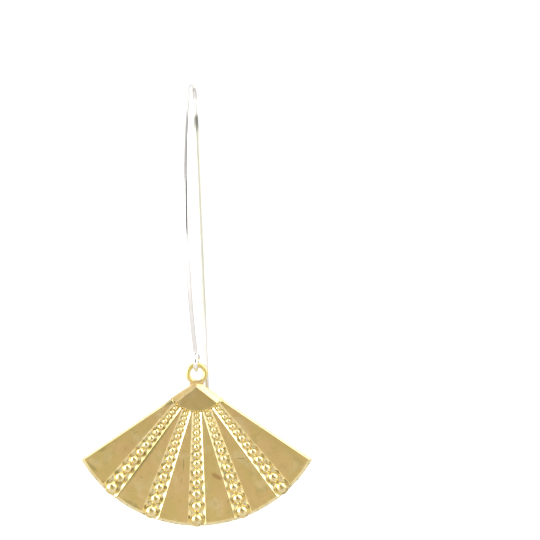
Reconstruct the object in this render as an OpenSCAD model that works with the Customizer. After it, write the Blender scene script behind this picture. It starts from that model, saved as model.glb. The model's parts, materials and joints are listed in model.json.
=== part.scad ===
// Fan earring: a stamped brass fan that hangs by its ring from a long hook of round silver wire.
// The hook lies nearly in the plane that looks at the fan edge on. Its top bend is at the origin,
// +Z is up, +X is to the wearer's side and -Y is the fan's face.

/* [Hook] */
// Diameter of the hook's wire
wire_d = 0.72; // [0.6:0.01:0.8]
// Depth from the inside of the top bend to the middle of the eye
hook_drop = 43.3; // [40:0.1:46]
// Radius of the top bend along the middle of the wire
bend_r = 2.6; // [2.2:0.1:3]
// Radius of the bow in the front leg
bow_r = 40; // [38:0.5:44]
// Slant of the front leg where it meets the eye
front_slant = 29; // [28:0.5:31]
// Slant of the straight back leg
back_slant = 8.4; // [6:0.1:10]
// Length of the straight back leg
back_length = 48; // [44:0.5:50]
// Turn of the hook about the vertical, its back leg towards +X
hook_turn = 8; // [0:1:12]
// Lean of the hook, its eye towards +X
hook_lean = 0.9; // [0:0.1:1.5]

/* [Eye] */
// Radius of the eye along the middle of the wire
eye_r = 1.3; // [1.25:0.05:1.5]
// Radius of the small bend that centres the eye under the leg
eye_neck_r = 1; // [0.8:0.05:1.2]
// Gap between the cut end of the eye and the leg
eye_gap = 0.15; // [0.1:0.01:0.3]
// Play between the eye and the fan's ring
ring_play = 0.04; // [0.02:0.01:0.08]

/* [Fan outline] */
// Distance from the apex to the middle of the rim
fan_reach = 22.8; // [22:0.1:23.5]
// Angle from the middle line to each straight edge
half_spread = 56; // [53:0.5:58]
// Radius of the curved rim
rim_r = 21.2; // [20.8:0.1:22.5]
// Radius of the ring along the middle of its section
ring_r = 1.4; // [1.35:0.05:1.6]
// Thickness of the ring's round section
ring_d = 0.76; // [0.6:0.02:0.8]
// Height of the ring's middle over the apex
ring_rise = 1.31; // [1.2:0.01:1.4]
// Width of the neck below the ring
neck_w = 2.2; // [1.8:0.1:2.4]

/* [Fan relief] */
// Depth of the fan's back behind its middle plane
back_depth = 0.4; // [0.3:0.05:0.5]
// Height of the channels' floor over the middle plane
floor_height = 0.05; // [0:0.05:0.1]
// Height of the flat blades over the channels' floor
blade_rise = 0.3; // [0.2:0.05:0.4]
// Height of the hub plate over the blades
hub_rise = 0.2; // [0.1:0.05:0.3]
// Width of the slope along the fan's outer edges
edge_slope = 0.4; // [0.3:0.05:0.5]
// Radius of the hub plate from the apex
hub_r = 4.75; // [4.5:0.05:4.8]
// How far the hub stands out past the fan's straight edges
hub_lip = 0.12; // [0.05:0.01:0.16]
// Extra inset of the hollows in the back, under the blades
hollow_inset = 0.25; // [0.2:0.01:0.35]

/* [Channels and beads] */
// Number of channels
channels = 5; // [3:2:5]
// Angle between neighbouring channels
channel_pitch = 19.35; // [18.5:0.05:20]
// Half width of a channel's floor at the hub
floor_inner = 0.3; // [0.28:0.01:0.35]
// Half width of a channel's floor at the rim
floor_outer = 1.02; // [0.98:0.01:1.1]
// Width of the slope between a channel's floor and the blade beside it
channel_slope = 0.42; // [0.3:0.01:0.45]
// Number of beads in a channel
beads = 13; // [13:1:14]
// Size of each bead over that of its outer neighbour
bead_ratio = 0.922; // [0.915:0.001:0.935]
// Distance from the apex to the innermost bead
bead_start = 5.35; // [5.3:0.05:5.6]
// Width of a bead as a part of the distance to the next
bead_fill = 0.9; // [0.84:0.01:0.91]
// Height of a bead as a part of its half width
bead_dome = 0.8; // [0.6:0.05:0.9]
// Distance from the rim to the middle of the outermost bead
bead_margin = 1; // [0.97:0.01:1.03]
// Radius of the rim's small lobe round the outermost bead
lobe_r = 1.17; // [1.15:0.01:1.2]

/* [Hidden] */
$fn = 96;

wire_r = wire_d / 2;

// Bends are a hair thicker than the lengths between them, whose ends they take in
bend_wire_r = wire_r + 0.003;
take_in = 0.03;

// The hook's profile is drawn in its own plane: x is the depth, y is up, and the inside of the top
// bend is at the origin. A heading is measured from straight up and is positive towards the front.
bend_mid = [0, wire_r - bend_r];
eye_mid = [0, -hook_drop];
function side(heading) = [cos(heading), sin(heading)];
function ahead(heading) = [-sin(heading), cos(heading)];

// The bow is tangent to the slanting line through the eye and, from inside, to the top bend
bow_offset = eye_mid + bow_r * side(front_slant) - bend_mid;
bow_along = bow_offset * ahead(front_slant);
front_run = -bow_along - sqrt(pow(bow_along, 2) - bow_offset * bow_offset + pow(bow_r - bend_r, 2));
bow_mid = bend_mid + bow_offset + front_run * ahead(front_slant);
bow_end = -acos((bow_mid.x - bend_mid.x) / (bow_r - bend_r));
back_heading = back_slant - 180;
back_top = bend_mid - bend_r * side(back_heading);

// The eye's neck bends to the front, and the eye then turns back under it
neck_mid_distance = eye_neck_r + eye_r;
neck_run = sqrt(pow(neck_mid_distance, 2) - pow(eye_neck_r, 2));
neck_mid = eye_mid + neck_run * ahead(front_slant) - eye_neck_r * side(front_slant);
neck_angle = acos(eye_neck_r / neck_mid_distance);
eye_start = atan2(neck_mid.y - eye_mid.y, neck_mid.x - eye_mid.x);
eye_clear = eye_neck_r + wire_d + eye_gap;
eye_open = acos((pow(eye_r, 2) + pow(neck_mid_distance, 2) - pow(eye_clear, 2))
    / (2 * eye_r * neck_mid_distance));

// The ring hangs on the lowest point of the eye
hang_x = (hook_drop + eye_r) * sin(hook_lean);
ring_z = -(hook_drop + eye_r) * cos(hook_lean) + wire_r + ring_play - ring_r + ring_d / 2;
apex_z = ring_z - ring_rise;

// The fan is drawn with its apex at the origin, x across, y up and z out of its face
rim_mid = [0, rim_r - fan_reach];
blade_z = floor_height + blade_rise;
hub_z = blade_z + hub_rise;
function rim_distance(angle) =
    -rim_mid.y * cos(angle) + sqrt(pow(rim_r, 2) - pow(rim_mid.y * sin(angle), 2));

// The blades start a hair inside the outline, so that their slopes don't end on its corners
edge_step = 0.05;

// The neck is straight under the ring and then flares to the width of the fan
neck_straight = neck_w / 4;
neck_flare = neck_w / tan(half_spread);

// The hub's sides lean in, from halfway out on its lip to the flat top of the blades
hub_low_inset = -hub_lip / 2;
hub_high_inset = 2 * edge_slope;
hub_low_r = hub_r + edge_slope / 2;

function channel_angle(i) = (i - (channels - 1) / 2) * channel_pitch;
floor_taper = (floor_outer - floor_inner) / (fan_reach - hub_r);
function floor_half(distance) = floor_inner + floor_taper * (distance - hub_r);

// Beads are numbered from the rim inwards, and the steps between them shrink by one ratio
bead_steps = beads - 1;
function bead_sum(n) = (1 - pow(bead_ratio, n)) / (1 - bead_ratio);
function first_step(outer) = (outer - bead_start) / bead_sum(bead_steps);

module wire_leg(from, heading, length, radius) {
    translate([from.x, from.y, 0])
        rotate([0, 0, heading])
            rotate([-90, 0, 0])
                cylinder(r = radius, h = length);
}

// An arc runs from one heading to the next, and its middle lies to the right of its way
module wire_arc(middle, bend, start, sweep, radius) {
    translate([middle.x, middle.y, 0])
        rotate([0, 0, start])
            rotate_extrude(angle = sweep)
                translate([bend, 0])
                    circle(r = radius);
}

module ear_wire() {
    bow_reach = take_in / bow_r * 180 / PI;
    neck_reach = take_in / eye_neck_r * 180 / PI;
    color("silver")
        rotate([0, -hook_lean, 0])
            rotate([90, 0, 90 - hook_turn]) {
                wire_leg(back_top - take_in * ahead(back_heading), back_heading,
                    back_length + take_in, wire_r);
                wire_arc(bend_mid, bend_r, back_heading + 180, bow_end - back_heading, bend_wire_r);
                wire_arc(bow_mid, bow_r, bow_end + 180 - bow_reach,
                    front_slant - bow_end + 2 * bow_reach, wire_r);
                wire_leg(eye_mid + neck_run * ahead(front_slant), front_slant,
                    front_run - neck_run, bend_wire_r);
                wire_arc(neck_mid, eye_neck_r, front_slant - neck_angle - neck_reach,
                    neck_angle + 2 * neck_reach, wire_r);
                wire_arc(eye_mid, eye_r, eye_start, 360 - eye_open, bend_wire_r);
            }
}

// A flat-topped block whose lower and upper outlines have the same corners, counterclockwise
module sloped_block(lower, upper, z0, z1) {
    n = len(lower);
    polyhedron(
        points = [for (p = lower) [p.x, p.y, z0], for (p = upper) [p.x, p.y, z1]],
        faces = [
            [for (i = [0 : n - 1]) i],
            [for (i = [0 : n - 1]) 2 * n - 1 - i],
            for (i = [0 : n - 1]) [i, i + n, (i + 1) % n + n, (i + 1) % n]
        ]
    );
}

// The open triangle of the fan, its straight edges moved in by the inset
function spread_triangle(inset) =
    let (top = -inset / sin(half_spread), low = -fan_reach - rim_r)
    [[0, top], [-(top - low) * tan(half_spread), low], [(top - low) * tan(half_spread), low]];

// A disc with the rim's curve, its side leaning in from inset0 to inset1
module rim_disc(inset0, inset1, z0, z1) {
    translate([rim_mid.x, rim_mid.y, z0])
        cylinder(r1 = rim_r - inset0, r2 = rim_r - inset1, h = z1 - z0);
}

module at_channel(i) {
    rotate([0, 0, channel_angle(i)]) children();
}

// The sheet's outline from its back up to the channels' floor, with the rim's lobes
module blank() {
    translate([0, 0, -back_depth])
        linear_extrude(back_depth + floor_height) {
            intersection() {
                polygon(spread_triangle(0));
                translate(rim_mid) circle(r = rim_r);
            }
            intersection() {
                polygon(spread_triangle(-hub_lip));
                circle(r = hub_r + edge_slope);
            }
            polygon([
                [-neck_w / 2, 0], [-neck_w / 2, -neck_straight], [-neck_w, -neck_flare],
                [neck_w, -neck_flare], [neck_w / 2, -neck_straight], [neck_w / 2, 0]
            ]);
            for (i = [0 : channels - 1])
                at_channel(i)
                    translate([0, bead_margin - rim_distance(channel_angle(i))]) circle(r = lobe_r);
        }
}

// The space of one channel, from under the hub to past the rim
module channel_space(slack, z0, z1) {
    near = rim_mid.y;
    far = -fan_reach - rim_r;
    inner = floor_half(-near) + slack;
    outer = floor_half(-far) + slack;
    sloped_block(
        [[inner, near], [-inner, near], [-outer, far], [outer, far]],
        [[inner + channel_slope, near], [-inner - channel_slope, near],
         [-outer - channel_slope, far], [outer + channel_slope, far]],
        z0, z1
    );
}

// Six flat fields with sloping sides, between the fan's edges and the channels
module blade_field(low_inset, high_inset, slack, z0, z1) {
    difference() {
        intersection() {
            sloped_block(spread_triangle(low_inset), spread_triangle(high_inset), z0, z1);
            rim_disc(low_inset, high_inset, z0, z1);
        }
        for (i = [0 : channels - 1])
            at_channel(i) channel_space(slack, z0, z1);
    }
}

// The raised plate at the apex
module hub() {
    intersection() {
        sloped_block(spread_triangle(hub_low_inset), spread_triangle(hub_high_inset),
            floor_height, hub_z);
        translate([0, 0, floor_height])
            cylinder(r1 = hub_low_r, r2 = hub_r, h = hub_z - floor_height);
    }
}

// Domes that stand on the channel's floor and grow towards the rim
module bead_row(angle) {
    outer = rim_distance(angle) - bead_margin;
    step = first_step(outer);
    for (i = [0 : bead_steps]) {
        half = bead_fill * step * pow(bead_ratio, i) / 2;
        rise = bead_dome * half;
        r = (pow(half, 2) + pow(rise, 2)) / (2 * rise);
        translate([0, step * bead_sum(i) - outer, floor_height + rise - r])
            sphere(r = r);
    }
}

module fan_drop() {
    color("goldenrod")
        translate([hang_x, 0, apex_z])
            rotate([90, 0, 0]) {
                difference() {
                    union() {
                        blank();
                        blade_field(edge_step, edge_slope, 0, floor_height, blade_z);
                        hub();
                    }
                    blade_field(edge_slope + hollow_inset, edge_slope + 2 * hollow_inset, hollow_inset,
                        -back_depth, -back_depth + blade_rise);
                }
                // Only the caps of the spheres show, the rest is cut off inside the sheet
                intersection() {
                    for (i = [0 : channels - 1])
                        at_channel(i) bead_row(channel_angle(i));
                    translate([-rim_r, -2 * rim_r, 0]) cube([2 * rim_r, 2 * rim_r, rim_r]);
                }
                translate([0, ring_rise, 0])
                    rotate_extrude()
                        translate([ring_r, 0])
                            circle(r = ring_d / 2);
            }
}

ear_wire();
fan_drop();
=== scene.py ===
import json
import math

import bmesh
import bpy
from bpy.props import FloatProperty, FloatVectorProperty, IntProperty, PointerProperty
from mathutils import Matrix, Vector


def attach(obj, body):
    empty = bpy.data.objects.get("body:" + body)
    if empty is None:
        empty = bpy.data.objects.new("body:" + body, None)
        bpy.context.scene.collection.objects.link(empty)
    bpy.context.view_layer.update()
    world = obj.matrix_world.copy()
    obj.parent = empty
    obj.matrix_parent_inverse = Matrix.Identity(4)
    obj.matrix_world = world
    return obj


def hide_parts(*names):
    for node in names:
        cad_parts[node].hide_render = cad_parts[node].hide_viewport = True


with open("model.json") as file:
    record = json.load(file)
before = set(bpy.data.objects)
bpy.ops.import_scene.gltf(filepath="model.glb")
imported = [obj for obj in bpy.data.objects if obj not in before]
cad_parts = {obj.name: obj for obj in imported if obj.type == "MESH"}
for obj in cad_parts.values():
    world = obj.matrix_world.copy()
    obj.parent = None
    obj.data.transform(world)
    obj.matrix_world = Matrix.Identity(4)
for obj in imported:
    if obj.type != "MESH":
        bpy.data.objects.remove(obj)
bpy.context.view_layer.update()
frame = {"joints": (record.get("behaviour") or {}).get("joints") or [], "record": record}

bl_info = {
    "name": "Fan earring",
    "version": (1, 0, 0),
    "blender": (4, 5, 0),
    "location": "View3D > Sidebar > Earring",
    "description": "A stamped brass fan that hangs by its ring from a long hook of silver wire",
    "category": "Add Mesh",
}

MM = 0.001
POST = next(m for m in frame["record"]["mounts"] if m["name"] == "ear_post")
RING_MIDDLE = Vector(frame["joints"][0]["pos_m"])


# Settings that a user would change

class HookSettings(bpy.types.PropertyGroup):
    """The long hook of round wire"""
    wire_radius: FloatProperty(
        name="Wire radius", description="Half the thickness of the round wire",
        default=POST["dims"]["r_mm"] * MM, unit="LENGTH", precision=5)
    back_length: FloatProperty(
        name="Back leg", description="Length of the straight back leg",
        default=POST["dims"]["length_mm"] * MM, unit="LENGTH", precision=4)
    drop: FloatProperty(
        name="Drop", description="From the inside of the top bend down to the middle of the eye",
        default=43.3 * MM, unit="LENGTH", precision=4)
    bend_radius: FloatProperty(
        name="Top bend", description="Radius of the top bend along the middle of the wire",
        default=2.6 * MM, unit="LENGTH", precision=4)
    bow_radius: FloatProperty(
        name="Bow", description="Radius of the bow in the front leg",
        default=40 * MM, unit="LENGTH", precision=4)
    front_slant: FloatProperty(
        name="Front slant", description="Slant of the front leg where it meets the eye",
        default=math.radians(29), subtype="ANGLE")
    back_slant: FloatProperty(
        name="Back slant", description="Slant of the straight back leg",
        default=math.radians(8.4), subtype="ANGLE")
    turn: FloatProperty(
        name="Turn", description="Turn of the hook about the vertical",
        default=math.radians(8), subtype="ANGLE")
    lean: FloatProperty(
        name="Lean", description="Lean of the hook, its eye to the right",
        default=math.radians(0.9), subtype="ANGLE")
    eye_radius: FloatProperty(
        name="Eye", description="Radius of the eye along the middle of the wire",
        default=1.3 * MM, unit="LENGTH", precision=4)
    neck_radius: FloatProperty(
        name="Eye neck", description="Radius of the small bend over the eye",
        default=1 * MM, unit="LENGTH", precision=4)
    eye_gap: FloatProperty(
        name="Eye gap", description="Gap between the eye's cut end and the leg",
        default=0.15 * MM, unit="LENGTH", precision=5)


class FanSettings(bpy.types.PropertyGroup):
    """The stamped sheet of the fan"""
    reach: FloatProperty(
        name="Reach", description="From the apex to the middle of the rim",
        default=22.8 * MM, unit="LENGTH", precision=4)
    rim_radius: FloatProperty(
        name="Rim radius", description="Radius of the curved rim",
        default=21.2 * MM, unit="LENGTH", precision=4)
    half_spread: FloatProperty(
        name="Half spread", description="From the middle line to a straight edge",
        default=math.radians(56), subtype="ANGLE")
    back_depth: FloatProperty(
        name="Back depth", description="Depth of the back behind the middle plane",
        default=0.4 * MM, unit="LENGTH", precision=5)
    floor_height: FloatProperty(
        name="Floor", description="Height of the channels' floor over the middle plane",
        default=0.05 * MM, unit="LENGTH", precision=5)
    blade_rise: FloatProperty(
        name="Blade rise", description="Height of a blade over the channels' floor",
        default=0.3 * MM, unit="LENGTH", precision=5)
    slope: FloatProperty(
        name="Slope", description="Width of the slope round a blade",
        default=0.4 * MM, unit="LENGTH", precision=5)
    edge_share: FloatProperty(
        name="Edge share", description="Width of the slopes on the straight edges as a part of the "
        "others'", default=0.5)
    edge_step: FloatProperty(
        name="Edge step", description="How far inside the outline the blades start",
        default=0.05 * MM, unit="LENGTH", precision=5)
    soft_edge: FloatProperty(
        name="Soft edge", description="Rounding of the stamped edges",
        default=0.07 * MM, unit="LENGTH", precision=5)
    hollow_inset: FloatProperty(
        name="Hollow inset", description="Extra inset of the hollows in the back",
        default=0.25 * MM, unit="LENGTH", precision=5)
    hollow_start: FloatProperty(
        name="Hollow start", description="From the apex to the inner ends of the hollows",
        default=6.8 * MM, unit="LENGTH", precision=4)
    hollow_deep: FloatProperty(
        name="Hollow floor", description="From the apex to where the hollows are fully deep",
        default=10.2 * MM, unit="LENGTH", precision=4)
    hub_radius: FloatProperty(
        name="Hub radius", description="Radius of the hub plate's flat",
        default=4.6 * MM, unit="LENGTH", precision=4)
    hub_rise: FloatProperty(
        name="Hub rise", description="Height of the hub plate over the channels' floor",
        default=0.5 * MM, unit="LENGTH", precision=5)
    hub_slope: FloatProperty(
        name="Hub slope", description="Width of the slope below the hub plate's arc",
        default=0.35 * MM, unit="LENGTH", precision=5)
    hub_side: FloatProperty(
        name="Hub side", description="Inset of the hub plate's flat from the straight edges",
        default=0.74 * MM, unit="LENGTH", precision=5)
    hub_turn: FloatProperty(
        name="Hub turn", description="How much narrower the hub plate's flat spreads than the fan",
        default=math.radians(3.1), subtype="ANGLE")
    hub_lip: FloatProperty(
        name="Hub lip", description="How far the hub stands out past the straight edges",
        default=0.12 * MM, unit="LENGTH", precision=5)


class ChannelSettings(bpy.types.PropertyGroup):
    """The sunk channels and their rows of beads"""
    count: IntProperty(name="Channels", description="Number of channels", default=5, min=1)
    pitch: FloatProperty(
        name="Pitch", description="Angle between neighbouring channels",
        default=math.radians(19.35), subtype="ANGLE")
    floor_start: FloatProperty(
        name="Floor start", description="From the apex to where a channel's floor is narrowest",
        default=4.75 * MM, unit="LENGTH", precision=4)
    floor_inner: FloatProperty(
        name="Floor at the hub", description="Half width of a channel's floor at the hub",
        default=0.3 * MM, unit="LENGTH", precision=5)
    floor_outer: FloatProperty(
        name="Floor at the rim", description="Half width of a channel's floor at the rim",
        default=1.02 * MM, unit="LENGTH", precision=5)
    beads: IntProperty(name="Beads", description="Number of beads in a channel", default=13, min=2)
    ratio: FloatProperty(
        name="Bead ratio", description="Size of a bead over that of its outer neighbour",
        default=0.922)
    start: FloatProperty(
        name="First bead", description="From the apex to the innermost bead",
        default=5.35 * MM, unit="LENGTH", precision=4)
    margin: FloatProperty(
        name="Margin", description="From the rim to the middle of the outermost bead",
        default=1 * MM, unit="LENGTH", precision=4)
    fill: FloatProperty(
        name="Fill", description="Width of a bead as a part of the step to the next", default=0.96)
    dome: FloatProperty(
        name="Dome", description="Height of a bead as a part of its half width", default=0.8)
    foot: FloatProperty(
        name="Foot", description="Radius of the hollow curve at a bead's foot, as a part of its "
        "half width", default=0.22)
    lobe_radius: FloatProperty(
        name="Lobe", description="Radius of the rim's lobe round the outermost bead",
        default=1.17 * MM, unit="LENGTH", precision=4)


class RingSettings(bpy.types.PropertyGroup):
    """The ring over the fan's apex"""
    radius: FloatProperty(
        name="Radius", description="Radius of the ring along the middle of its section",
        default=1.4 * MM, unit="LENGTH", precision=4)
    section_radius: FloatProperty(
        name="Section", description="Radius of the ring's round section",
        default=0.38 * MM, unit="LENGTH", precision=5)
    rise: FloatProperty(
        name="Rise", description="Height of the ring's middle over the apex",
        default=1.31 * MM, unit="LENGTH", precision=4)
    neck_width: FloatProperty(
        name="Neck width", description="Width of the neck below the ring",
        default=2.2 * MM, unit="LENGTH", precision=4)


class FinishSettings(bpy.types.PropertyGroup):
    """The colours of the two metals"""
    brass: FloatVectorProperty(
        name="Brass", description="Clean satin brass", subtype="COLOR", size=3,
        default=(0.715, 0.54, 0.20))
    pink_brass: FloatVectorProperty(
        name="Pink brass", description="Clouds of redder brass", subtype="COLOR", size=3,
        default=(0.79, 0.55, 0.235))
    bright_brass: FloatVectorProperty(
        name="Bright brass", description="Brass polished by the stamp and by wear",
        subtype="COLOR", size=3, default=(0.91, 0.80, 0.465))
    # Also the colour of painted shade: the patches that dim some slopes, and the floor specks,
    # which are partly painted shade between the beads
    tarnish: FloatVectorProperty(
        name="Tarnish", description="Olive tarnish in the low places", subtype="COLOR", size=3,
        default=(0.36, 0.30, 0.11))
    ring_tarnish: FloatVectorProperty(
        name="Ring tarnish", description="Yellow olive tarnish on the ring",
        subtype="COLOR", size=3, default=(0.74, 0.64, 0.23))
    edge_brass: FloatVectorProperty(
        name="Edge brass", description="Brass where the view grazes it", subtype="COLOR", size=3,
        default=(0.9, 0.78, 0.45))
    stain: FloatVectorProperty(
        name="Stain", description="Reddish brown stains", subtype="COLOR", size=3,
        default=(0.42, 0.20, 0.07))
    dull_silver: FloatVectorProperty(
        name="Dull silver", description="Slightly olive silver of the back leg",
        subtype="COLOR", size=3, default=(0.58, 0.58, 0.46))
    # Painted reflection: this grey stands in for dark reflections on the front leg's left side and
    # at the top of the back leg
    painted_reflection_grey: FloatVectorProperty(
        name="Grey silver", description="Greyed silver near the top bend",
        subtype="COLOR", size=3, default=(0.2, 0.2, 0.19))
    warm_silver: FloatVectorProperty(
        name="Warm silver", description="Slightly yellow patches on the wire",
        subtype="COLOR", size=3, default=(0.74, 0.71, 0.62))
    silver: FloatVectorProperty(
        name="Silver", description="Polished silver", subtype="COLOR", size=3,
        default=(0.93, 0.92, 0.90))


class StageSettings(bpy.types.PropertyGroup):
    """The camera, the backdrop and the light"""
    distance: FloatProperty(
        name="Camera distance", description="From the fan's face to the camera",
        default=350 * MM, unit="LENGTH", precision=3)
    field: FloatProperty(
        name="Field", description="Width of the picture at the fan",
        default=85.6 * MM, unit="LENGTH", precision=4)
    aim_x: FloatProperty(
        name="Aim across", description="Middle of the picture, to the right of the hook",
        default=12.3 * MM, unit="LENGTH", precision=4)
    aim_z: FloatProperty(
        name="Aim height", description="Middle of the picture, over the hook's bend",
        default=-28.8 * MM, unit="LENGTH", precision=4)
    backdrop: FloatVectorProperty(
        name="Backdrop", description="Pale floor and backdrop", subtype="COLOR", size=3,
        default=(0.93, 0.92, 0.915))
    mottle: FloatVectorProperty(
        name="Mottle", description="Warmer patches on the floor and backdrop",
        subtype="COLOR", size=3, default=(0.95, 0.915, 0.91))
    room: FloatVectorProperty(
        name="Room", description="Colour of the room's light", subtype="COLOR", size=3,
        default=(1.0, 0.985, 0.975))
    surround: FloatVectorProperty(
        name="Surround", description="What the camera sees beside the backdrop",
        subtype="COLOR", size=3, default=(0.9, 0.89, 0.885))
    floor_drop: FloatProperty(
        name="Floor", description="From the hook's bend down to the floor",
        default=160 * MM, unit="LENGTH", precision=3)
    camera_side: FloatProperty(
        name="Camera side", description="Brightness of the room on the camera's side",
        default=0.23)
    bright_sides: FloatProperty(
        name="Bright sides", description="Brightness of the room all round", default=1.02)
    shade_start: FloatProperty(
        name="Shade", description="Half width of the darker side that the camera stands on",
        default=math.radians(36), subtype="ANGLE")
    shade_end: FloatProperty(
        name="Shade end", description="Where the room is fully bright again",
        default=math.radians(63), subtype="ANGLE")
    right_power: FloatProperty(
        name="Right softbox", description="Power in watts of the lamp at the upper right",
        default=1.6)
    left_power: FloatProperty(
        name="Left softbox", description="Power in watts of the lamp on the left", default=3.4)
    backdrop_power: FloatProperty(
        name="Backdrop light", description="Power in watts of the lamp that clears the backdrop",
        default=2)


# Shapes

RIM_STEPS = 96
HUB_STEPS = 40
BLADE_STEPS = (16, 2)
ROUND_STEPS = 32
RING_STEPS = 96
LOBE_STEPS = 64
BEAD_STEPS = 28
DOME_STEPS, FOOT_STEPS = 10, 6
WIRE_STEPS = {"back": 8, "bend": 36, "bow": 60, "run": 2, "neck": 16, "eye": 64}
CUT_EDGE = 1 / 3
FOOT_SUNK = 0.1
DIMPLE_RISE, DIMPLE_FOOT = 0.35, 0.3
SMALLEST = 0.0015 * MM
SEAM = 1e-5 * MM
UNIT_SEAM = 1e-6
WIRE_SHARP, FAN_SHARP = math.radians(40), math.radians(28)


def far_crossing(point, heading, middle_y, radius):
    """Where a line meets a circle on the middle line; headings are turns from straight down."""
    along = Vector((math.sin(heading), -math.cos(heading), 0))
    offset = point - Vector((0, middle_y, 0))
    ahead = offset.dot(along)
    return point + along * (-ahead + math.sqrt(ahead ** 2 - offset.length_squared + radius ** 2))


def moved_in(point, heading, side, inset):
    """A point of a blade's left or right side (-1 or 1), moved towards the blade."""
    return point - side * inset * Vector((math.cos(heading), math.sin(heading), 0))


def arc_between(bm, corners, middle_y, height, steps):
    """An arc on a circle on the middle line, from its left corner to its right one, in order."""
    turns = [math.atan2(corner.x, middle_y - corner.y) for corner in corners]
    first = bm.verts.new((corners[0].x, corners[0].y, height))
    bmesh.ops.spin(bm, geom=[first], cent=(0, middle_y, 0), axis=(0, 0, 1),
                   angle=turns[1] - turns[0], steps=steps)
    bm.verts.ensure_lookup_table()
    return bm.verts[-(steps + 1):]


def outline(bm, fan, sides, height, inset, inner, steps):
    """A flat field between two sides, from an arc round the apex out to the rim."""
    rim_y = fan.rim_radius - fan.reach
    lines = [(moved_in(point, heading, side, inset * share), heading)
             for (point, heading, share), side in zip(sides, (-1, 1))]
    rim = [far_crossing(*line, rim_y, fan.rim_radius - inset) for line in lines]
    hub = [far_crossing(*line, 0, inner) for line in lines]
    return bm.faces.new([*arc_between(bm, rim, rim_y, height, steps[0]),
                         *reversed(arc_between(bm, hub, 0, height, steps[1]))])


def fan_sides(fan):
    """The straight edges, each with its point, its heading and its share of an inset."""
    return [(Vector(), side * fan.half_spread, fan.edge_share) for side in (-1, 1)]


def rim_distance(fan, angle):
    """From the apex to the rim, at an angle from the middle line."""
    return far_crossing(Vector(), angle, fan.rim_radius - fan.reach, fan.rim_radius).length


def channel_angles(channels):
    return [(i - (channels.count - 1) / 2) * channels.pitch for i in range(channels.count)]


def blade_sides(fan, channels, blade):
    """The two sides of a blade, each along a channel's floor or along the fan's straight edge."""
    taper = (channels.floor_outer - channels.floor_inner) / (fan.reach - channels.floor_start)
    half = channels.floor_inner - taper * channels.floor_start
    sides = fan_sides(fan)
    for i, (side, channel) in enumerate(((-1, blade - 1), (1, blade))):
        if channel in range(channels.count):
            angle = channel_angles(channels)[channel]
            sides[i] = (Matrix.Rotation(angle, 3, "Z") @ Vector((-side * half, 0, 0)),
                        angle - side * math.atan(taper), 1)
    return sides


def soften(bm, edges, width, segments=3):
    bmesh.ops.bevel(bm, geom=edges, offset=width, offset_type="OFFSET", segments=segments,
                    profile=0.5, affect="EDGES", clamp_overlap=True, material=-1)


def thickened(bm, faces, height):
    """Makes flat faces into a closed block of that height, and gives the moved faces."""
    made = bmesh.ops.extrude_face_region(bm, geom=faces, use_keep_orig=True)["geom"]
    bmesh.ops.translate(bm, verts=[g for g in made if isinstance(g, bmesh.types.BMVert)],
                        vec=(0, 0, height))
    bmesh.ops.recalc_face_normals(bm, faces=bm.faces)
    return [g for g in made if isinstance(g, bmesh.types.BMFace)]


def stacked(bm, plates):
    """A closed block through a stack of flat outlines, the lowest first."""
    loops = [list(plate.edges) for plate in plates]
    bmesh.ops.delete(bm, geom=plates[1:-1], context="FACES_ONLY")
    for low, high in zip(loops, loops[1:]):
        bmesh.ops.bridge_loops(bm, edges=low + high)
    return plates[-1]


def fan_sheet(fan):
    """The flat sheet at the height of the channels' floor."""
    bm = bmesh.new()
    under_hub = fan.hub_radius / 2
    back = outline(bm, fan, fan_sides(fan), -fan.back_depth, 0, under_hub, (RIM_STEPS, HUB_STEPS))
    thickened(bm, [back], fan.back_depth + fan.floor_height)
    soften(bm, list(back.edges), fan.soft_edge)
    return bm


def blade_blocks(fan, channels, levels):
    """A block on each blade's outline; its levels have height, inset and the inner end's place."""
    bm = bmesh.new()
    tops = []
    for blade in range(channels.count + 1):
        sides = blade_sides(fan, channels, blade)
        plates = [outline(bm, fan, sides, *level, BLADE_STEPS) for level in levels]
        tops.append(stacked(bm, plates))
    bmesh.ops.recalc_face_normals(bm, faces=bm.faces)
    soften(bm, list({e for top in tops for e in top.edges}), fan.soft_edge)
    return bm


def blades(fan, channels):
    """The raised blades, their slopes rising from the channels' floor."""
    inner = fan.hub_radius + fan.hub_slope - fan.slope
    return blade_blocks(fan, channels, (
        (-fan.back_depth / 2, fan.edge_step, inner),
        (fan.floor_height, fan.edge_step, inner),
        (fan.floor_height + fan.blade_rise, fan.edge_step + fan.slope, inner + fan.slope)))


def back_hollows(fan, channels):
    """The space behind each blade, as a tool that cuts the hollows into the back."""
    margin = fan.slope + fan.hollow_inset
    return blade_blocks(fan, channels, (
        (-fan.back_depth - fan.blade_rise, margin, fan.hollow_start),
        (-fan.back_depth, margin, fan.hollow_start),
        (-fan.back_depth + fan.blade_rise, margin + fan.slope, fan.hollow_deep)))


def hub_plate(fan):
    """The hub plate at the apex, its sides sloping in to its flat top."""
    bm = bmesh.new()
    base_r = fan.hub_radius + fan.hub_slope
    plates = []
    for height, inset, turn, radius in (
            (-fan.back_depth, -fan.hub_lip, 0, base_r),
            (fan.floor_height, -fan.hub_lip, 0, base_r),
            (fan.floor_height + fan.hub_rise, fan.hub_side, fan.hub_turn, fan.hub_radius)):
        tip = Vector((0, -inset / math.sin(fan.half_spread), 0))
        corners = [far_crossing(tip, side * (fan.half_spread - turn), 0, radius)
                   for side in (-1, 1)]
        apex = bm.verts.new((0, tip.y, height))
        plates.append(bm.faces.new([apex, *arc_between(bm, corners, 0, height, HUB_STEPS)]))
    stacked(bm, plates)
    bmesh.ops.recalc_face_normals(bm, faces=bm.faces)
    soften(bm, list({*plates[0].edges, *plates[-1].edges}), fan.soft_edge)
    return bm


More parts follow.
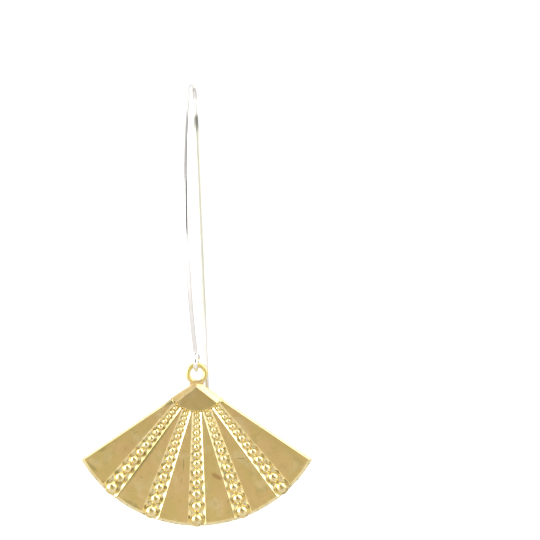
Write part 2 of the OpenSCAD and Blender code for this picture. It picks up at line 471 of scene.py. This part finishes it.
def rim_lobes(fan, channels):
    """Small round lobes that carry the outermost beads past the rim."""
    bm = bmesh.new()
    for angle in channel_angles(channels):
        reach = rim_distance(fan, angle) - channels.margin
        place = Matrix.Rotation(angle, 4, "Z") @ Matrix.Translation((0, -reach, -fan.back_depth))
        made = bmesh.ops.create_circle(bm, cap_ends=True, segments=LOBE_STEPS,
                                       radius=channels.lobe_radius, matrix=place)
        face = made["verts"][0].link_faces[0]
        thickened(bm, [face], fan.back_depth + fan.floor_height)
    return bm


def bead_places(fan, channels):
    """The place and the half width of every bead, from the rim inwards in each channel."""
    for angle in channel_angles(channels):
        outer = rim_distance(fan, angle) - channels.margin
        gaps = channels.beads - 1
        step = (outer - channels.start) * (1 - channels.ratio) / (1 - channels.ratio ** gaps)
        reach = outer
        for _ in range(channels.beads):
            yield Matrix.Rotation(angle, 3, "Z") @ Vector((0, -reach, 0)), channels.fill * step / 2
            reach -= step
            step *= channels.ratio


def domes(fan, channels, rise, foot, level):
    """Closed domes at the beads' places, each flaring into the sheet by a hollow curve."""
    bm = bmesh.new()
    radius = (1 + rise ** 2) / (2 * rise)
    middle = Vector((0, 0, rise - radius))
    hollow_z = foot * (1 - FOOT_SUNK)
    hollow_mid = Vector((math.sqrt((radius + foot) ** 2 - (hollow_z - middle.z) ** 2), 0, hollow_z))
    lean = math.atan2(hollow_mid.x, hollow_mid.z - middle.z)
    chain = [bm.verts.new((0, 0, rise))]
    for centre, angle, steps in ((middle, lean, DOME_STEPS), (hollow_mid, -lean, FOOT_STEPS)):
        bmesh.ops.spin(bm, geom=[chain[-1]], cent=centre, axis=(0, 1, 0), angle=angle, steps=steps)
        bm.verts.ensure_lookup_table()
        chain += bm.verts[-steps:]
    down = bmesh.ops.extrude_vert_indiv(bm, verts=[chain[-1]])["verts"]
    bmesh.ops.translate(bm, verts=down, vec=(0, 0, -foot))
    bmesh.ops.spin(bm, geom=[*bm.verts, *bm.edges], cent=(0, 0, 0), axis=(0, 0, 1), angle=math.tau,
                   steps=BEAD_STEPS, use_merge=True)
    bmesh.ops.remove_doubles(bm, verts=bm.verts, dist=UNIT_SEAM)
    bmesh.ops.contextual_create(bm, geom=[e for e in bm.edges if e.is_boundary])
    bmesh.ops.recalc_face_normals(bm, faces=bm.faces)
    pattern = [*bm.verts, *bm.edges, *bm.faces]
    for place, half in bead_places(fan, channels):
        copy = bmesh.ops.duplicate(bm, geom=pattern)["geom"]
        verts = [g for g in copy if isinstance(g, bmesh.types.BMVert)]
        bmesh.ops.scale(bm, verts=verts, vec=(half, half, half))
        bmesh.ops.translate(bm, verts=verts, vec=place + Vector((0, 0, level)))
    bmesh.ops.delete(bm, geom=[g for g in pattern if isinstance(g, bmesh.types.BMVert)],
                     context="VERTS")
    return bm


def neck(fan, ring):
    """The neck that joins the ring to the fan, straight at first and then flaring."""
    bm = bmesh.new()
    half = ring.neck_width / 2
    flare = ring.neck_width / math.tan(fan.half_spread)
    top, waist = ring.rise / 4, -half / 2
    right = [(half, top), (half, waist), (ring.neck_width, -flare)]
    corners = [(-x, y) for x, y in right] + [(x, y) for x, y in reversed(right)]
    face = bm.faces.new([bm.verts.new((x, y, -fan.back_depth)) for x, y in corners])
    thickened(bm, [face], fan.back_depth + fan.floor_height)
    soften(bm, [e for e in bm.edges if abs(e.verts[0].co.z - e.verts[1].co.z) < SEAM],
           fan.soft_edge, segments=2)
    return bm


def ring_body(ring):
    """A round ring, spun from its section."""
    bm = bmesh.new()
    place = Matrix.Translation((ring.radius, ring.rise, 0)) @ Matrix.Rotation(math.pi / 2, 4, "X")
    made = bmesh.ops.create_circle(bm, segments=ROUND_STEPS, radius=ring.section_radius,
                                   matrix=place)
    edges = list({e for v in made["verts"] for e in v.link_edges})
    bmesh.ops.spin(bm, geom=made["verts"] + edges, cent=(0, ring.rise, 0), axis=(0, 0, 1),
                   angle=math.tau, steps=RING_STEPS, use_merge=True)
    bmesh.ops.remove_doubles(bm, verts=bm.verts, dist=SEAM)
    bmesh.ops.recalc_face_normals(bm, faces=bm.faces)
    return bm


def wire_body(hook):
    """The whole hook, swept from its cut end up the back leg, over the bend and round the eye."""
    def side(heading):
        return Vector((math.cos(heading), math.sin(heading), 0))

    def ahead(heading):
        return Vector((-math.sin(heading), math.cos(heading), 0))

    bend_mid = Vector((0, hook.wire_radius - hook.bend_radius, 0))
    eye_mid = Vector((0, -hook.drop, 0))
    inner_bow = hook.bow_radius - hook.bend_radius
    offset = eye_mid + hook.bow_radius * side(hook.front_slant) - bend_mid
    along = offset.dot(ahead(hook.front_slant))
    front_run = -along - math.sqrt(along ** 2 - offset.length_squared + inner_bow ** 2)
    bow_mid = bend_mid + offset + front_run * ahead(hook.front_slant)
    bow_end = -math.acos((bow_mid.x - bend_mid.x) / inner_bow)
    back_heading = hook.back_slant - math.pi
    tip = bend_mid - hook.bend_radius * side(back_heading) + hook.back_length * ahead(back_heading)

    neck_reach = hook.neck_radius + hook.eye_radius
    neck_run = math.sqrt(neck_reach ** 2 - hook.neck_radius ** 2)
    neck_mid = eye_mid + neck_run * ahead(hook.front_slant) \
        - hook.neck_radius * side(hook.front_slant)
    neck_turn = math.acos(hook.neck_radius / neck_reach)
    clear = hook.neck_radius + 2 * hook.wire_radius + hook.eye_gap
    eye_open = math.acos((hook.eye_radius ** 2 + neck_reach ** 2 - clear ** 2)
                         / (2 * hook.eye_radius * neck_reach))

    bm = bmesh.new()
    place = Matrix.Translation(tip) @ Matrix.Rotation(hook.back_slant, 4, "Z") \
        @ Matrix.Rotation(math.pi / 2, 4, "X")
    start = bmesh.ops.create_circle(bm, segments=ROUND_STEPS, radius=hook.wire_radius,
                                    matrix=place)
    ends = [list({e for v in start["verts"] for e in v.link_edges})]

    def straight(vector, steps):
        for _ in range(steps):
            made = bmesh.ops.extrude_edge_only(bm, edges=ends[-1])["geom"]
            bmesh.ops.translate(bm, vec=vector / steps,
                                verts=[g for g in made if isinstance(g, bmesh.types.BMVert)])
            ends.append([g for g in made if isinstance(g, bmesh.types.BMEdge)])

    def bent(middle, angle, steps):
        verts = list({v for e in ends[-1] for v in e.verts})
        made = bmesh.ops.spin(bm, geom=verts + ends[-1], cent=middle, axis=(0, 0, 1),
                              angle=angle, steps=steps)["geom_last"]
        ends.append([g for g in made if isinstance(g, bmesh.types.BMEdge)])

    straight(-hook.back_length * ahead(back_heading), WIRE_STEPS["back"])
    bent(bend_mid, bow_end - back_heading, WIRE_STEPS["bend"])
    bent(bow_mid, hook.front_slant - bow_end, WIRE_STEPS["bow"])
    straight(-(front_run - neck_run) * ahead(hook.front_slant), WIRE_STEPS["run"])
    bent(neck_mid, -neck_turn, WIRE_STEPS["neck"])
    bent(eye_mid, math.tau - eye_open, WIRE_STEPS["eye"])
    for ring in (ends[0], ends[-1]):
        cap = bmesh.ops.contextual_create(bm, geom=ring)["faces"]
        soften(bm, list(cap[0].edges), hook.wire_radius * CUT_EDGE)
    bmesh.ops.dissolve_degenerate(bm, dist=SMALLEST, edges=bm.edges)
    bmesh.ops.recalc_face_normals(bm, faces=bm.faces)
    bm.transform(Matrix.Rotation(-hook.lean, 4, "Y")
                 @ Matrix.Rotation(math.pi / 2 - hook.turn, 4, "Z")
                 @ Matrix.Rotation(math.pi / 2, 4, "X"))
    return bm


def piece_from(bm, name):
    """A new object at the origin that holds the mesh."""
    mesh = bpy.data.meshes.new(name)
    bm.to_mesh(mesh)
    bm.free()
    piece = bpy.data.objects.new(name, mesh)
    bpy.context.scene.collection.objects.link(piece)
    return piece


def joined(piece, tools):
    """Joins or cuts the piece with each of the tools and keeps one closed mesh."""
    for tool, operation in tools:
        modifier = piece.modifiers.new(tool.name, "BOOLEAN")
        modifier.object = tool
        modifier.operation = operation
        modifier.solver = "MANIFOLD"
    bpy.context.view_layer.update()
    evaluated = piece.evaluated_get(bpy.context.evaluated_depsgraph_get())
    bm = bmesh.new()
    bm.from_mesh(evaluated.to_mesh())
    bmesh.ops.remove_doubles(bm, verts=bm.verts, dist=SMALLEST)
    bmesh.ops.dissolve_degenerate(bm, dist=SMALLEST, edges=bm.edges)
    piece.modifiers.clear()
    bm.to_mesh(piece.data)
    bm.free()
    for tool, _ in tools:
        bpy.data.objects.remove(tool)


def smooth(piece, angle):
    """Smooth shading that keeps the edges sharper than the angle."""
    for polygon in piece.data.polygons:
        polygon.use_smooth = True
    piece.data.set_sharp_from_angle(angle=angle)
    weighted = piece.modifiers.new("Weighted normals", "WEIGHTED_NORMAL")
    weighted.keep_sharp = True


# Materials

def nodes_of(owner):
    """The empty node tree of a material or a world."""
    owner.use_nodes = True
    owner.node_tree.nodes.clear()
    return owner.node_tree


def add(tree, kind, inputs=(), **settings):
    """Adds a node, sets its properties, and joins or sets its inputs."""
    made = tree.nodes.new(kind)
    for key, value in settings.items():
        setattr(made, key, value)
    for key, value in dict(inputs).items():
        if isinstance(value, bpy.types.NodeSocket):
            tree.links.new(value, made.inputs[key])
        else:
            made.inputs[key].default_value = value
    return made


def noise(tree, vector, scale, detail, roughness=0.5):
    """Noise from 0 to 1, its scale in waves to the metre."""
    return add(tree, "ShaderNodeTexNoise", {
        "Vector": vector, "Scale": scale, "Detail": detail, "Roughness": roughness}).outputs["Fac"]


def streaked(tree, place, turn, scale, detail):
    """Noise drawn out into lines, which are turned by some degrees in the front view."""
    lines = add(tree, "ShaderNodeMapping", {
        "Vector": place, "Rotation": (0, math.radians(turn), 0), "Scale": scale}).outputs[0]
    return noise(tree, lines, 1.0, detail)


def remap(tree, value, low, high, to_low=0.0, to_high=1.0):
    """A soft step of a value between two limits."""
    return add(tree, "ShaderNodeMapRange", {
        "Value": value, "From Min": low, "From Max": high, "To Min": to_low, "To Max": to_high,
    }, interpolation_type="SMOOTHSTEP").outputs["Result"]


def calc(tree, operation, a, *others):
    """A sum, product or the like of two or more values, or a function of one."""
    if not others:
        return add(tree, "ShaderNodeMath", {0: a}, operation=operation).outputs[0]
    for b in others:
        a = add(tree, "ShaderNodeMath", {0: a, 1: b}, operation=operation).outputs[0]
    return a


def blend_colour(tree, factor, a, b):
    """A mix of two colours, the second as strong as the factor."""
    made = tree.nodes.new("ShaderNodeMix")
    made.data_type = "RGBA"
    for socket, value in ((made.inputs[0], factor), (made.inputs[6], a), (made.inputs[7], b)):
        if isinstance(value, bpy.types.NodeSocket):
            tree.links.new(value, socket)
        else:
            socket.default_value = value
    return made.outputs[2]


def rgba(colour):
    return (*colour, 1.0)


# How squarely a face looks to the front, where it starts and fully counts as one of its kind
FLAT_FACES, LEVEL_FACES, HUB_SIDE_FACES = (0.88, 0.99), (0.5, 0.9), (0.75, 0.85)
# Heights over the channels' floor
BLADE_FLATS, HUB_FLAT = (0.15 * MM, 0.27 * MM), (0.36 * MM, 0.47 * MM)
CHANNEL_FLOORS = (0.2 * MM, 0.02 * MM)
# From the apex out to the hub's end, and up to where the ring is tarnished
HUB_END, RING_FOOT = (4.7 * MM, 5.1 * MM), 0.8 * MM
# Roughness of clean metal, from bright to satin, and of the silver where dark reflections are
# painted
BRASS_ROUGH, SILVER_ROUGH, REFLECTION_ROUGH = (0.2, 0.38), (0.08, 0.2), 0.6

# Marks on the fan's face, in millimetres from the apex, their turns in degrees
STAINS = [
    dict(across=3.2, up=-15.0, length=2.4, width=1.0, turn=-30, strength=0.6),
    dict(across=-15.0, up=-15.9, length=1.2, width=0.5, turn=20, strength=0.5),
    dict(across=4.9, up=-18.8, length=0.9, width=0.3, turn=60, strength=0.35),
]
SCRATCHES = [
    dict(across=7.1, up=-12.1, length=1.9, width=0.2, turn=2, strength=0.7),
    dict(across=-2.1, up=-13.0, length=2.6, width=0.24, turn=88, strength=0.7),
    dict(across=-2.4, up=-15.5, length=1.2, width=0.24, turn=80, strength=0.6),
    dict(across=-9.6, up=-8.0, length=1.3, width=0.3, turn=25, strength=0.4),
    dict(across=-11.3, up=-10.6, length=1.0, width=0.3, turn=65, strength=0.4),
    dict(across=-8.8, up=-15.1, length=0.7, width=0.4, turn=0, strength=0.4),
]
DULL_PATCHES = [
    dict(across=-10.5, up=-19.4, length=4.2, width=1.5, turn=-28, strength=0.7),
    dict(across=-15.0, up=-10.5, length=2.4, width=1.4, turn=28, strength=0.45),
    dict(across=-16.6, up=-13.4, length=3.0, width=0.7, turn=-42, strength=0.5),
    dict(across=16.2, up=-12.6, length=3.0, width=1.2, turn=-40, strength=0.3),
]
# Painted shade: darker, rougher patches on the hub's slopes and along the first channel's right
# slope, dimming their bright reflections
SHADE_PATCHES = [
    dict(across=-0.4, up=-0.75, length=1.6, width=1.2, turn=0, strength=0.25),
    dict(across=0.35, up=-0.6, length=0.5, width=0.5, turn=0, strength=0.6),
    dict(across=3.9, up=-2.9, length=1.4, width=1.2, turn=-34, strength=0.5),
    dict(across=-3.6, up=-2.65, length=4.8, width=1.5, turn=34, strength=0.75),
    dict(across=-2.3, up=-1.9, length=5.5, width=1.2, turn=34, strength=0.3),
    dict(across=-7.25, up=-10.7, length=22.0, width=1.0, turn=54.4, strength=0.85),
]


def marks(tree, place, rows, apex):
    """One mask for a list of soft-ended marks on the face."""
    total = None
    for row in rows:
        spot = add(tree, "ShaderNodeMapping", {
            "Vector": place,
            "Location": (apex.x + row["across"] * MM, 0, apex.z + row["up"] * MM),
            "Rotation": (0, -math.radians(row["turn"]), 0),
            "Scale": (row["length"] * MM / 2, 1, row["width"] * MM / 2),
        }, vector_type="TEXTURE").outputs[0]
        fade = add(tree, "ShaderNodeTexGradient", {"Vector": spot},
                   gradient_type="SPHERICAL").outputs["Fac"]
        mask = remap(tree, fade, 0.0, 0.6, 0.0, row["strength"])
        total = mask if total is None else calc(tree, "MAXIMUM", total, mask)
    return total


def brass_material(finish, fan, apex):
    """Satin stamped brass: dull flats, bright slopes and beads, tarnish, stains, scratches and
    painted shade on some slopes and between the beads.
    """
    material = bpy.data.materials.new("stamped_brass")
    tree = nodes_of(material)
    where = add(tree, "ShaderNodeTexCoord").outputs
    place = where["Object"]
    parts = add(tree, "ShaderNodeSeparateXYZ", {0: place}).outputs
    facing = add(tree, "ShaderNodeVectorMath", {0: where["Normal"], 1: (0, -1, 0)},
                 operation="DOT_PRODUCT").outputs["Value"]
    from_apex = add(tree, "ShaderNodeVectorMath", {0: place, 1: apex},
                    operation="DISTANCE").outputs["Value"]

    def over_floor(low, high):
        """A step between two heights over the channels' floor."""
        return remap(tree, parts["Y"], -(fan.floor_height + low), -(fan.floor_height + high))

    satin = calc(tree, "MULTIPLY", remap(tree, facing, *FLAT_FACES), over_floor(*BLADE_FLATS))
    low = calc(tree, "MULTIPLY", remap(tree, facing, *LEVEL_FACES), over_floor(*CHANNEL_FLOORS))
    dull_hub = calc(tree, "MULTIPLY", over_floor(*HUB_FLAT), satin, 0.3)
    hub_sides = calc(tree, "MULTIPLY", remap(tree, from_apex, *HUB_END, 0.4, 0.0),
                     remap(tree, facing, *HUB_SIDE_FACES), remap(tree, satin, 0.0, 1.0, 1.0, 0.0))
    on_ring = remap(tree, parts["Z"], apex.z, apex.z + RING_FOOT, 0.0, 0.8)

    patches = noise(tree, place, 420, 5, 0.6)
    clouds = remap(tree, noise(tree, place, 180, 4), 0.42, 0.6, 0.0, 0.7)
    pale = remap(tree, noise(tree, place, 330, 3, 0.6), 0.5, 0.68, 0.0, 0.3)
    # Specks for the channels' floor: tarnish, and also painted shade where the beads meet
    specks = remap(tree, noise(tree, place, 1300, 3), 0.5, 0.62, 0.0, 0.7)
    ring_patches = remap(tree, noise(tree, place, 900, 2), 0.4, 0.6, 0.4, 1.0)
    grain = noise(tree, place, 9000, 4, 0.6)
    brushed = streaked(tree, place, 28, (900, 900, 9000), 3)
    hairlines = calc(tree, "MAXIMUM", *(remap(tree, streaked(
        tree, place, turn, (350, 350, 16000), 2), 0.6, 0.7) for turn in (-37, 64)))
    hairlines = calc(tree, "MULTIPLY", hairlines, satin)
    stains = marks(tree, place, STAINS, apex)
    scratches = marks(tree, place, SCRATCHES, apex)
    dull = calc(tree, "MULTIPLY", marks(tree, place, DULL_PATCHES, apex),
                remap(tree, patches, 0.3, 0.6))
    # Painted shade on the slopes, in the tarnish colour
    painted_slope_shade = marks(tree, place, SHADE_PATCHES, apex)

    colour = blend_colour(tree, satin, rgba(finish.bright_brass), rgba(finish.brass))
    for share, tone in (
            (calc(tree, "MULTIPLY", clouds, remap(tree, satin, 0.0, 1.0, 0.3, 1.0)),
             finish.pink_brass),
            (pale, finish.bright_brass),
            (dull_hub, finish.tarnish),
            (remap(tree, patches, 0.5, 0.72, 0.0, 0.3), finish.tarnish),
            (calc(tree, "MULTIPLY", satin, dull), finish.tarnish),
            # Floor specks, partly tarnish and partly painted shade between the beads, and the
            # painted shade on the slopes
            (calc(tree, "MAXIMUM", calc(tree, "MULTIPLY", low, specks), painted_slope_shade),
             finish.tarnish),
            (calc(tree, "MULTIPLY", hub_sides, 1.3), finish.pink_brass),
            (calc(tree, "MULTIPLY", on_ring, ring_patches), finish.ring_tarnish),
            (calc(tree, "MULTIPLY", satin, stains), finish.stain),
            (calc(tree, "MULTIPLY", satin, scratches), finish.tarnish)):
        colour = blend_colour(tree, share, colour, rgba(tone))

    matte = calc(tree, "MAXIMUM", satin, low, hub_sides, calc(tree, "MULTIPLY", painted_slope_shade, 0.7),
                 on_ring)
    rough = calc(tree, "ADD", remap(tree, matte, 0, 1, *BRASS_ROUGH),
                 remap(tree, patches, 0.3, 0.7, -0.05, 0.07))
    rough = calc(tree, "SUBTRACT", rough, calc(tree, "MULTIPLY", hairlines, 0.08))
    relief = calc(tree, "ADD", calc(tree, "MULTIPLY", grain, 0.15),
                  calc(tree, "MULTIPLY", brushed, 0.25))
    relief = calc(tree, "SUBTRACT", relief, calc(tree, "MULTIPLY", scratches, 1.2),
                  calc(tree, "MULTIPLY", hairlines, 0.3))
    bump = add(tree, "ShaderNodeBump", {"Height": relief, "Strength": 0.35,
                                        "Distance": 0.02 * MM})
    shader = add(tree, "ShaderNodeBsdfPrincipled", {
        "Base Color": colour, "Metallic": 1.0, "Roughness": rough,
        "Specular Tint": rgba(finish.edge_brass), "Normal": bump.outputs["Normal"]})
    add(tree, "ShaderNodeOutputMaterial", {"Surface": shader.outputs[0]})
    return material


def silver_material(finish):
    """Polished silver wire with faint draw lines, warm patches and painted dark reflections as
    greyed, rougher stretches.
    """
    material = bpy.data.materials.new("silver_wire")
    tree = nodes_of(material)
    where = add(tree, "ShaderNodeTexCoord").outputs
    place = where["Object"]
    parts = add(tree, "ShaderNodeSeparateXYZ", {0: place}).outputs
    sideways = add(tree, "ShaderNodeSeparateXYZ", {0: where["Normal"]}).outputs["X"]

    def step(axis, start, end, *levels):
        """A step between two places in millimetres, up (Z) or back (Y) from the bend."""
        return remap(tree, parts[axis], start * MM, end * MM, *levels)

    below_bend = step("Z", -4.6, -3.6, 1.0, 0.15)
    back_leg = calc(tree, "MULTIPLY", step("Y", 0.5, 3, 0.0, 0.75),
                    step("Z", -42, -33, 0.1, 1.0), below_bend)
    # Painted dark reflections: the left-facing side of the front leg and the top of the back leg
    # are greyed and made rougher
    top_of_back = calc(tree, "MULTIPLY", step("Y", 2, 2.6), step("Z", -7.5, -5.2, 0.0, 0.85),
                       below_bend)
    front_left = calc(tree, "MULTIPLY", remap(tree, sideways, 0.5, -0.5),
                      step("Y", 0.5, 1.5, 1.0, 0.0), step("Z", -24, -12, 0.0, 0.95),
                      step("Z", -6, -2, 1.0, 0.5))
    dark_reflection_mask = calc(tree, "MAXIMUM", front_left, top_of_back)

    patches = noise(tree, place, 260, 4)
    draw_lines = streaked(tree, place, 0, (7000, 7000, 160), 3)
    colour = rgba(finish.silver)
    for share, tone in ((remap(tree, patches, 0.45, 0.75, 0.0, 0.35), finish.warm_silver),
                        (back_leg, finish.dull_silver), (dark_reflection_mask, finish.painted_reflection_grey)):
        colour = blend_colour(tree, share, colour, rgba(tone))
    rough = calc(tree, "MAXIMUM", remap(tree, patches, 0.3, 0.7, *SILVER_ROUGH),
                 calc(tree, "MULTIPLY", dark_reflection_mask, REFLECTION_ROUGH))
    bump = add(tree, "ShaderNodeBump", {"Height": draw_lines, "Strength": 0.25,
                                        "Distance": 0.01 * MM})
    shader = add(tree, "ShaderNodeBsdfPrincipled", {
        "Base Color": colour, "Metallic": 1.0, "Roughness": rough,
        "Normal": bump.outputs["Normal"]})
    add(tree, "ShaderNodeOutputMaterial", {"Surface": shader.outputs[0]})
    return material


def backdrop_material(stage):
    """Matte pale card with a very slight mottle."""
    material = bpy.data.materials.new("pale_card")
    tree = nodes_of(material)
    place = add(tree, "ShaderNodeTexCoord").outputs["Object"]
    patches = remap(tree, noise(tree, place, 6, 3), 0.35, 0.7, 0.0, 0.5)
    colour = blend_colour(tree, patches, rgba(stage.backdrop), rgba(stage.mottle))
    shader = add(tree, "ShaderNodeBsdfPrincipled", {"Base Color": colour, "Roughness": 0.9})
    add(tree, "ShaderNodeOutputMaterial", {"Surface": shader.outputs[0]})
    return material


# Operators

class EARRING_OT_ear_wire(bpy.types.Operator):
    """Sweep the long silver hook with its eye"""
    bl_idname = "earring.ear_wire"
    bl_label = "Ear wire"

    def execute(self, context):
        scene = context.scene
        piece = piece_from(wire_body(scene.earring_hook), "silver_hook")
        smooth(piece, WIRE_SHARP)
        piece.data.materials.append(silver_material(scene.earring_finish))
        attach(piece, "hook")
        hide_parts("ear_wire")
        return {"FINISHED"}


class EARRING_OT_fan_drop(bpy.types.Operator):
    """Stamp the brass fan with its channels, beads, hub and ring"""
    bl_idname = "earring.fan_drop"
    bl_label = "Fan drop"

    def execute(self, context):
        scene = context.scene
        fan, channels, ring = scene.earring_fan, scene.earring_channels, scene.earring_ring
        apex = RING_MIDDLE - Vector((0, 0, ring.rise))
        piece = piece_from(fan_sheet(fan), "brass_fan")
        beads = domes(fan, channels, channels.dome, channels.foot, fan.floor_height)
        dimples = domes(fan, channels, DIMPLE_RISE, DIMPLE_FOOT, -fan.back_depth)
        joined(piece, [
            (piece_from(blades(fan, channels), "blades"), "UNION"),
            (piece_from(rim_lobes(fan, channels), "rim_lobes"), "UNION"),
            (piece_from(hub_plate(fan), "hub_plate"), "UNION"),
            (piece_from(neck(fan, ring), "neck"), "UNION"),
            (piece_from(ring_body(ring), "ring"), "UNION"),
            (piece_from(beads, "beads"), "UNION"),
            (piece_from(back_hollows(fan, channels), "hollows"), "DIFFERENCE"),
            (piece_from(dimples, "dimples"), "DIFFERENCE"),
        ])
        piece.data.transform(Matrix.Translation(apex) @ Matrix.Rotation(math.pi / 2, 4, "X"))
        smooth(piece, FAN_SHARP)
        piece.data.materials.clear()
        piece.data.materials.append(brass_material(scene.earring_finish, fan, apex))
        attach(piece, "fan")
        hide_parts("fan_drop")
        return {"FINISHED"}


# The nearest that the camera sees
NEAREST = 10 * MM
# The room's glow from below to above, and from the middle to both sides
GLOW_UP, GLOW_ASIDE = (1.1, 0.95), (1.0, 1.6)
# Each lamp's name, place, aim, size and the setting of its power
LAMPS = (
    ("right softbox", (0.35, -0.34, 0.37), RING_MIDDLE, 0.5, "right_power"),
    ("left softbox", (-0.55, -0.17, 0.06), RING_MIDDLE, 0.5, "left_power"),
    ("backdrop light", (0, 0.2, 0.45), (0, 0.75, 0), 0.8, "backdrop_power"),
)


class EARRING_OT_stage(bpy.types.Operator):
    """Set the camera, the pale floor and backdrop, and the soft light"""
    bl_idname = "earring.stage"
    bl_label = "Stage"

    def execute(self, context):
        scene = context.scene
        stage = scene.earring_stage
        camera = bpy.data.objects.new("camera", bpy.data.cameras.new("camera"))
        scene.collection.objects.link(camera)
        camera.data.lens = camera.data.sensor_width * stage.distance / stage.field
        camera.data.clip_start = NEAREST
        camera.location = (stage.aim_x, -stage.distance, stage.aim_z)
        camera.rotation_euler = (math.pi / 2, 0, 0)
        scene.camera = camera
        scene.view_settings.view_transform = "Standard"

        card = self.card(stage)
        card.data.materials.append(backdrop_material(stage))
        self.lights(scene, stage)
        return {"FINISHED"}

    def card(self, stage):
        """A floor that bends up into a backdrop, far enough behind to go round the earring."""
        width, depth, height, behind, sweep, steps = 2.4, 1.75, 1.6, 0.75, 0.35, 24
        bm = bmesh.new()
        corners = [bm.verts.new((-width / 2, y, z - stage.floor_drop)) for y, z in
                   ((behind - depth, 0), (behind, 0), (behind, height))]
        for pair in zip(corners, corners[1:]):
            bm.edges.new(pair)
        bmesh.ops.bevel(bm, geom=[corners[1]], offset=sweep, segments=steps, profile=0.5,
                        affect="VERTICES", material=-1)
        made = bmesh.ops.extrude_edge_only(bm, edges=bm.edges[:])["geom"]
        bmesh.ops.translate(bm, verts=[g for g in made if isinstance(g, bmesh.types.BMVert)],
                            vec=(width, 0, 0))
        card = piece_from(bm, "pale_backdrop")
        for polygon in card.data.polygons:
            polygon.use_smooth = True
        return card

    def lights(self, scene, stage):
        """A bright room with a darker side where the camera stands, and three soft lamps."""
        world = bpy.data.worlds.new("soft studio")
        scene.world = world
        tree = nodes_of(world)
        direction = add(tree, "ShaderNodeTexCoord").outputs["Generated"]
        parts = add(tree, "ShaderNodeSeparateXYZ", {0: direction}).outputs
        round_about = remap(tree, parts["Y"], -math.cos(stage.shade_start),
                            -math.cos(stage.shade_end), stage.camera_side, stage.bright_sides)
        above = remap(tree, parts["Z"], -0.6, 0.95, *GLOW_UP)
        beside = remap(tree, calc(tree, "ABSOLUTE", parts["X"]), 0.45, 0.95, *GLOW_ASIDE)
        room = add(tree, "ShaderNodeBackground", {
            "Color": rgba(stage.room),
            "Strength": calc(tree, "MULTIPLY", round_about, above, beside)})
        plain = add(tree, "ShaderNodeBackground", {"Color": rgba(stage.surround)})
        seen = add(tree, "ShaderNodeLightPath").outputs["Is Camera Ray"]
        either = add(tree, "ShaderNodeMixShader", {
            0: seen, 1: room.outputs[0], 2: plain.outputs[0]})
        add(tree, "ShaderNodeOutputWorld", {"Surface": either.outputs[0]})
        for name, place, aim, size, power in LAMPS:
            lamp = bpy.data.lights.new(name, "AREA")
            lamp.size = size
            lamp.energy = getattr(stage, power)
            holder = bpy.data.objects.new(name, lamp)
            scene.collection.objects.link(holder)
            holder.location = place
            holder.rotation_euler = (Vector(aim) - Vector(place)).to_track_quat(
                "-Z", "Y").to_euler()


class EARRING_PT_panel(bpy.types.Panel):
    """The earring's pieces and sizes"""
    bl_label = "Fan earring"
    bl_idname = "EARRING_PT_panel"
    bl_space_type = "VIEW_3D"
    bl_region_type = "UI"
    bl_category = "Earring"

    def draw(self, context):
        for title, operator, groups in (
                ("Hook", "earring.ear_wire", ("earring_hook",)),
                ("Fan", "earring.fan_drop", ("earring_fan", "earring_channels", "earring_ring")),
                ("Finish", None, ("earring_finish",)),
                ("Stage", "earring.stage", ("earring_stage",))):
            box = self.layout.box()
            box.label(text=title)
            for group in groups:
                settings = getattr(context.scene, group)
                for key in settings.__annotations__:
                    box.prop(settings, key)
            if operator:
                box.operator(operator)


GROUPS = {
    "earring_hook": HookSettings,
    "earring_fan": FanSettings,
    "earring_channels": ChannelSettings,
    "earring_ring": RingSettings,
    "earring_finish": FinishSettings,
    "earring_stage": StageSettings,
}
CLASSES = (*GROUPS.values(), EARRING_OT_ear_wire, EARRING_OT_fan_drop, EARRING_OT_stage,
           EARRING_PT_panel)


def register():
    for cls in CLASSES:
        bpy.utils.register_class(cls)
    for name, group in GROUPS.items():
        setattr(bpy.types.Scene, name, PointerProperty(type=group))


def unregister():
    for name in GROUPS:
        delattr(bpy.types.Scene, name)
    for cls in reversed(CLASSES):
        bpy.utils.unregister_class(cls)


def main():
    register()
    bpy.ops.earring.stage()
    bpy.ops.earring.ear_wire()
    bpy.ops.earring.fan_drop()


if __name__ == "__main__":
    main()
